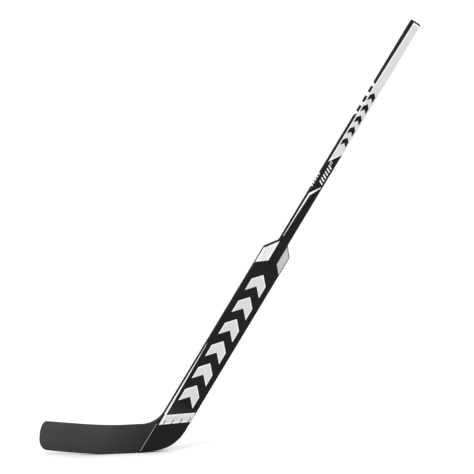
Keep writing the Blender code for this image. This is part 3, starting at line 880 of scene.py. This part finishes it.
# Name, then its finish and the finish's settings
FINISHES = {
    "black_lacquer": (laminate, plain("lacquer"), 2.2 * MM, 0.38, 0.3, 0.12),
    # The blade's colour carries painted shade: darker towards the heel and the sole, lighter towards the toe
    # and the top
    "blade_lacquer": (laminate, blade_tone_with_painted_shade, 3.0 * MM, 0.5, 0.05, 0.06),
    "dark_panel": (printed, panel_tone, 0.2, 0.04),
    "black_ink": (printed, plain("lacquer"), 0.2, 0.04),
    "silver_ink": (printed, plain("silver"), 0.08),
    # Grey for the shoulder's pin lines, and painted shade on the lower shoulder panel
    "shoulder_ink": (printed, plain("shoulder_grey_and_painted_shade"), 0.16),
    "white_ink": (printed, plain("white"), 0.03),
    # Painted highlight along the seam between blade and paddle
    "seam_resin": (printed, plain("seam"), 0.3),
    "moulded_plug": (moulded, plain("plug")),
    "stained_wood": (planed_wood, plain("wood")),
    "rigid_foam": (foam, plain("foam")),
    "pale_floor": (pale_paint,),
}


def finish(name):
    """The named material, made the first time that it is asked for."""
    material = bpy.data.materials.get(name)
    if not material:
        material = bpy.data.materials.new(name)
        material.use_nodes = True
        tree = material.node_tree
        maker, *settings = FINISHES[name]
        feed(tree, tree.nodes["Principled BSDF"], maker(tree, *settings))
    return material


# Operators, one for each piece or group of like pieces

class STICK_OT_shaft(bpy.types.Operator):
    """Hollow shaft of rounded-rectangle section, from the paddle's collar to the end plug"""

    bl_idname = "stick.shaft"
    bl_label = "Shaft"

    def execute(self, context):
        sizes = context.scene.stick_sizes
        shape = Shape(sizes)
        bm = run_tree(tube_tree(), {
            "Width": sizes.shaft_width, "Thickness": 2 * sizes.shaft_half, "Corner": sizes.shaft_round,
            "Wall": sizes.shaft_wall, "Start": sizes.collar_end,
            "End": shape.butt - sizes.plug_flange - PLUG_SEAT, "Material": finish("black_lacquer")})
        support = 0.4 * MM
        for axis, half in enumerate((sizes.shaft_width / 2, sizes.shaft_half)):
            cut_across(bm, axis, [side * (half - sizes.shaft_round - support) for side in SIDES])
        turn = Matrix((spot(shape.across), (0, 1, 0), spot(shape.along))).transposed().to_4x4()
        bm.transform(Matrix.Translation(spot(shape.place(shape.shaft_centre, 0))) @ turn)
        obj = mesh_object("shaft", bm, finish("black_lacquer"))
        finish_piece(obj, "shaft_laminate", "shaft_tube")
        return {"FINISHED"}


class STICK_OT_end_plug(bpy.types.Operator):
    """Moulded plug in the shaft's top, with a softly rounded rim"""

    bl_idname = "stick.end_plug"
    bl_label = "End plug"

    def execute(self, context):
        sizes = context.scene.stick_sizes
        shape = Shape(sizes)
        start = shape.butt - sizes.plug_flange
        stem = sizes.shaft_wall + GLUE_GAP
        levels = [(stem, start - PLUG_STEM), (stem, start), (PLUG_EDGE, start), (0.0, start + PLUG_EDGE)]
        for i in range(6):
            bend = math.pi / 2 * i / 5
            levels.append((PLUG_SOFT * (1 - math.cos(bend)), shape.butt - PLUG_SOFT * (1 - math.sin(bend))))
        levels.append((3 * PLUG_SOFT, shape.butt))
        bm = bmesh.new()
        rings = []
        for inside, up in levels:
            half_x = sizes.shaft_width / 2 - inside
            half_y = sizes.shaft_half - inside
            radius = sizes.shaft_round - min(inside, sizes.shaft_round - 1.5 * MM)
            ring = []
            for quarter, (sx, sy) in enumerate(CORNERS):
                for i in range(9):
                    angle = math.pi / 2 * (quarter + i / 8)
                    across = shape.shaft_centre + sx * (half_x - radius) + radius * math.cos(angle)
                    y = sy * (half_y - radius) + radius * math.sin(angle)
                    ring.append(bm.verts.new(spot(shape.place(across, up), y)))
            rings.append(ring)
        close_rings(bm, rings)
        finish_piece(mesh_object("end_plug", bm, finish("moulded_plug")), "plug_plastic", "butt_end_plug")
        return {"FINISHED"}


class STICK_OT_paddle(bpy.types.Operator):
    """Paddle, heel and shoulders in one laminate, running out over the shaft as a collar"""

    bl_idname = "stick.paddle"
    bl_label = "Paddle"

    def execute(self, context):
        sizes = context.scene.stick_sizes
        shape = Shape(sizes)
        bm = moulded_body(shape.paddle_outline, shape.paddle_round)
        slice_mesh(bm, [shape.place(0, up * MM) for up in range(560, 705, 5)], shape.along)
        trim(bm, shape.place(0, sizes.collar_end), -shape.along)
        triangulate_large(bm)
        give_thickness(bm, shape.paddle_half)
        obj = mesh_object("paddle", bm, finish("black_lacquer"))
        finish_piece(obj, "paddle_laminate", "paddle_backhand_skin", "paddle_forehand_skin",
                     "upper_edge_rail", "lower_edge_rail", "upper_shoulder_cap", "lower_shoulder_cap",
                     "upper_shoulder_block", "lower_shoulder_block", "paddle_spine", "heel_edge")
        return {"FINISHED"}


class STICK_OT_blade(bpy.types.Operator):
    """Curved blade, thick at the heel and thin at the toe, with rounded edges"""

    bl_idname = "stick.blade"
    bl_label = "Blade"

    def execute(self, context):
        sizes = context.scene.stick_sizes
        shape = Shape(sizes)
        outline = shape.blade_top() + shape.toe()[1:-1] + shape.sole() + shape.heel()[:-1]
        outline.append(shape.place(shape.upper_edge + BLADE_TONGUE, sizes.heel_reach))
        bm = moulded_body(outline, lambda place: sizes.blade_round)
        trim(bm, shape.across * (shape.upper_edge + BLADE_UNDER), -shape.across)
        first = int(TOE_X / MM) + 5
        slice_mesh(bm, [Vector((x * MM, 0)) for x in range(first, 60, 5)], Vector((1, 0)))
        triangulate_large(bm)
        give_thickness(bm, shape.blade_half, shape.blade_middle)
        obj = mesh_object("blade", bm, finish("blade_lacquer"))
        finish_piece(obj, "blade_laminate", "blade_backhand_skin", "blade_forehand_skin",
                     "blade_top_edge", "blade_toe_cap", "blade_sole_strip")
        return {"FINISHED"}


class STICK_OT_core(bpy.types.Operator):
    """Wood and foam finishes for the glued pieces inside the laminate"""

    bl_idname = "stick.core"
    bl_label = "Core"

    def execute(self, context):
        for name, node in frame["nodes"].items():
            if "foam" in name:
                material = finish("rigid_foam")
            elif name in ("paddle_spine", "blade_spar") or "block" in name:
                material = finish("stained_wood")
            else:
                continue
            node.data.materials.clear()
            node.data.materials.append(material)
        return {"FINISHED"}


class STICK_OT_paddle_print(bpy.types.Operator):
    """Heel band and its stripe, the dark panel, the painted highlight along the seam, and the shoulder
    panels, the lower one grey as painted shade
    """

    bl_idname = "stick.paddle_print"
    bl_label = "Paddle print"

    def execute(self, context):
        sizes = context.scene.stick_sizes
        shape = Shape(sizes)
        low = shape.upper_edge + sizes.paddle_round
        high = shape.lower_edge - sizes.paddle_round
        bends = bend_lines(sizes.paddle_round, (low, -1), (high, 1))
        ups = [up * MM for up in range(574, 672, 2)]
        steps = [across / 2 * MM for across in (*range(106, 157), *range(213, 253))]
        turns = [across * MM for across in (45.1, 45.4, 45.8)]
        for name, surface, ink, layer, cuts, lines, sides, *outlines in (
                ("heel_band", shape.on_edge, "white_ink", 1, (), bends, SIDES,
                 ((50.2, 43), (126.9, 96.5), (126.9, 126.5), (50.2, 75)),
                 ((50.2, 75), (56.2, 79.2), (50.9, 312), (50.2, 312))),
                ("heel_band_fill", shape.on_edge, "silver_ink", 2, (), bends, SIDES,
                 ((58, 52.6), (125.4, 99.6), (125.4, 121), (58, 75.6))),
                ("dark_panel", shape.on_edge, "dark_panel", 1, (), bends, SIDES,
                 ((57.2, 81.5), (124, 126.5), (124, 142), (57.2, 142))),
                # The seam line is a painted highlight along the lap's edge
                ("seam_line", shape.on_seam, "seam_resin", 1, (), turns, SIDES,
                 ((44.85, -46), (46.4, -46), (46.4, 44), (44.85, 44))),
                ("upper_shoulder_panel", shape.on_paddle, "white_ink", 2, ups, steps, SIDES,
                 ((52.8, 584), (78.6, 603.5), (78.2, 666.9), (52.8, 632.7))),
                ("upper_shoulder_edge", shape.on_edge, "white_ink", 1, ups, bends, BACKHAND,
                 ((52.8, 584), (52.8, 631.8), (47.25, 628), (44.9, 628), (44.9, 578))),
                # The lower shoulder panel's grey is painted shade on white print
                ("lower_shoulder_panel", shape.on_paddle, "shoulder_ink", 2, ups, steps, SIDES,
                 ((106.2, 606), (126.6, 583.5), (126.6, 636.5), (125.9, 639.5), (123.9, 642.9),
                  (106.2, 663.3)))):
            plates = mm_plates(*outlines)
            lay_print(name, "paddle_laminate", plates, surface, ink, layer, cuts, lines, sides)
        return {"FINISHED"}


class STICK_OT_paddle_bars(bpy.types.Operator):
    """Row of outlined chevrons up the paddle, the band's ticks and the shoulder's pin lines"""

    bl_idname = "stick.paddle_bars"
    bl_label = "Paddle chevrons"

    def execute(self, context):
        prints = context.scene.stick_prints
        shape = Shape(context.scene.stick_sizes)
        for name, shrink, ink, layer in (
                ("chevron_outlines", 0.0, "white_ink", 2),
                ("chevrons", prints.border, "silver_ink", 3)):
            bm = bar_row(
                prints.chevron_start, prints.chevron_across, shrink, Count=prints.chevron_count,
                Pitch=prints.chevron_pitch, Length=prints.chevron_length, Height=prints.chevron_height,
                Slant=prints.chevron_lead, Chevron=1.0)
            lay_print(name, "paddle_laminate", bm, shape.on_paddle, ink, layer)
        ticks = bar_row(57.2 * MM, 62.5 * MM, Count=4, Pitch=13.9 * MM, Rise=-19.8 * MM,
                        Length=18 * MM, Height=2.1 * MM, Slant=0.0)
        lay_print("band_ticks", "paddle_laminate", ticks, shape.on_paddle, "black_ink", 3)
        pins = bar_row(614 * MM, 57 * MM, Count=3, Pitch=3.2 * MM, Rise=-6.4 * MM,
                       Length=42 * MM, Height=2.0 * MM, Slant=0.0)
        ups = [up * MM for up in range(596, 650, 4)]
        lay_print("shoulder_pin_lines", "paddle_laminate", pins, shape.on_paddle, "shoulder_ink", 3, ups)
        return {"FINISHED"}


class STICK_OT_shaft_print(bpy.types.Operator):
    """White stripe, the silver sleeve that wraps the shaft's lower side, and the white stretch above it"""

    bl_idname = "stick.shaft_print"
    bl_label = "Shaft print"

    def execute(self, context):
        sizes = context.scene.stick_sizes
        shape = Shape(sizes)
        low = shape.shaft_low + sizes.shaft_round
        high = shape.shaft_high - sizes.shaft_round
        corner = sizes.shaft_round * math.pi / 2
        half_side = sizes.shaft_half - sizes.shaft_round
        under = (high + corner + half_side) / MM
        over = (low - corner - half_side) / MM
        bends = bend_lines(sizes.shaft_round, (low, -1), (high, 1))
        for name, ink, layer, *outlines in (
                ("shaft_stripe", "white_ink", 1,
                 ((79.4, 684), (79.4, 827), (84.4, 821.5), (83.8, 800), (81.9, 750), (80.6, 684)),
                 ((79.4, 827), (101.2, 859), (101.2, 854), (84.4, 821.5))),
                ("sleeve_outline", "white_ink", 1,
                 ((80.6, 931), (under, 983.4), (under, 1190), (80.6, 1190)),
                 ((80.8, 1190), (under, 1190), (under, 1396), (84.8, 1396))),
                ("sleeve", "silver_ink", 2,
                 ((83.6, 941.5), (under, 989), (under, 1190), (83.6, 1190)),
                 ((83.8, 1190), (under, 1190), (under, 1391.5), (87.8, 1391.5))),
                ("upper_side_stretch", "white_ink", 1,
                 ((79.8, 1090), (79.8, 1188), (over, 1194), (over, 1084)))):
            lay_print(name, "shaft_laminate", mm_plates(*outlines), shape.on_shaft, ink, layer, (), bends)
        return {"FINISHED"}


class STICK_OT_shaft_bars(bpy.types.Operator):
    """Black chevrons on the sleeve, and small slanted bars on the shaft's faces and upper side"""

    bl_idname = "stick.shaft_bars"
    bl_label = "Shaft chevrons"

    def execute(self, context):
        sizes = context.scene.stick_sizes
        prints = context.scene.stick_prints
        shape = Shape(sizes)
        low = shape.shaft_low + sizes.shaft_round
        beyond = low - sizes.shaft_round * math.pi / 2 - 2 * (sizes.shaft_half - sizes.shaft_round)
        bends = bend_lines(sizes.shaft_round, (low, -1), (beyond, -1))
        badge = bar_row(
            prints.badge_start, 93 * MM, Count=prints.badge_count, Pitch=prints.badge_pitch, Length=18 * MM,
            Height=prints.badge_height, Slant=11 * MM, Chevron=1.0)
        lay_print("shaft_chevrons", "shaft_laminate", badge, shape.on_shaft, "black_ink", 3, (), bends)
        # The last six are start, middle, pitch, length, height and slant, in millimetres
        for name, ink, layer, sides, count, *lengths in (
                ("model_bars", "white_ink", 1, SIDES, 6, 870, 93.5, 10.0, 4.4, 12.5, 6.0),
                ("model_ticks", "white_ink", 1, SIDES, 2, 929, 89.5, 6.0, 2.6, 7.0, 3.0),
                ("upper_side_bars", "white_ink", 1, BACKHAND, 5, 851, 70.0, 9.5, 5.5, 14.0, 3.0),
                ("upper_side_marks", "black_ink", 2, BACKHAND, 3, 1107, 71.0, 32.0, 19.0, 18.0, 3.0)):
            start, middle, pitch, bar, height, slant = [value * MM for value in lengths]
            row = bar_row(start, middle, Count=count, Pitch=pitch, Length=bar, Height=height, Slant=slant)
            lay_print(name, "shaft_laminate", row, shape.on_shaft, ink, layer, (), bends, sides)
        return {"FINISHED"}


class STICK_OT_stage(bpy.types.Operator):
    """Plain pale floor, soft lights and the camera"""

    bl_idname = "stick.stage"
    bl_label = "Stage"

    def execute(self, context):
        scene = context.scene
        stage = scene.stick_stage
        scene.view_settings.view_transform = "Standard"

        bm = bmesh.new()
        bmesh.ops.create_grid(bm, x_segments=1, y_segments=1, size=FLOOR_HALF)
        mesh_object("floor", bm, finish("pale_floor"))

        world = bpy.data.worlds.new("studio")
        world.use_nodes = True
        tree = world.node_tree
        direction = tree.nodes.new("ShaderNodeTexCoord").outputs["Generated"]
        strength = between(tree, split(tree, direction)[2], 0.0, 1.0, 0.92, 1.15)
        feed(tree, tree.nodes["Background"], {"Color": (1.0, 1.0, 1.0, 1.0), "Strength": strength})
        scene.world = world

        for name, place, size in LIGHTS:
            light = bpy.data.lights.new(name, "AREA")
            light.shape = "DISK"
            light.size = size
            light.energy = getattr(stage, name + "_power")
            lamp = bpy.data.objects.new(name, light)
            lamp.location = place
            lamp.rotation_euler = (AIM - lamp.location).to_track_quat("-Z", "Y").to_euler()
            scene.collection.objects.link(lamp)

        camera = bpy.data.cameras.new("camera")
        eye = bpy.data.objects.new("camera", camera)
        a, e = stage.azimuth, stage.elevation
        back = Vector((math.sin(a) * math.cos(e), -math.cos(a) * math.cos(e), math.sin(e)))
        eye.location = AIM + back * stage.distance
        eye.rotation_euler = (-back).to_track_quat("-Z", "Y").to_euler()
        camera.lens = camera.sensor_width * stage.distance / stage.view_width
        camera.clip_end = 400.0
        scene.collection.objects.link(eye)
        scene.camera = eye
        return {"FINISHED"}


class STICK_PT_panel(bpy.types.Panel):
    """Lists the stick's pieces in the sidebar"""

    bl_label = "Goalkeeper stick"
    bl_idname = "STICK_PT_panel"
    bl_space_type = "VIEW_3D"
    bl_region_type = "UI"
    bl_category = "Stick"

    def draw(self, context):
        for operator in OPERATORS:
            self.layout.operator(operator.bl_idname)


GROUPS = (
    ("stick_sizes", StickSizes),
    ("stick_prints", PrintSizes),
    ("stick_colours", StickColours),
    ("stick_stage", StageSettings),
)
OPERATORS = (
    STICK_OT_shaft,
    STICK_OT_end_plug,
    STICK_OT_paddle,
    STICK_OT_blade,
    STICK_OT_core,
    STICK_OT_paddle_print,
    STICK_OT_paddle_bars,
    STICK_OT_shaft_print,
    STICK_OT_shaft_bars,
    STICK_OT_stage,
)


def register():
    for name, group in GROUPS:
        bpy.utils.register_class(group)
        setattr(bpy.types.Scene, name, PointerProperty(type=group))
    for item in (*OPERATORS, STICK_PT_panel):
        bpy.utils.register_class(item)


def unregister():
    for item in reversed((*OPERATORS, STICK_PT_panel)):
        bpy.utils.unregister_class(item)
    for name, group in reversed(GROUPS):
        delattr(bpy.types.Scene, name)
        bpy.utils.unregister_class(group)


def main():
    register()
    for operator in OPERATORS:
        group, name = operator.bl_idname.split(".")
        getattr(getattr(bpy.ops, group), name)()


if __name__ == "__main__":
    main()
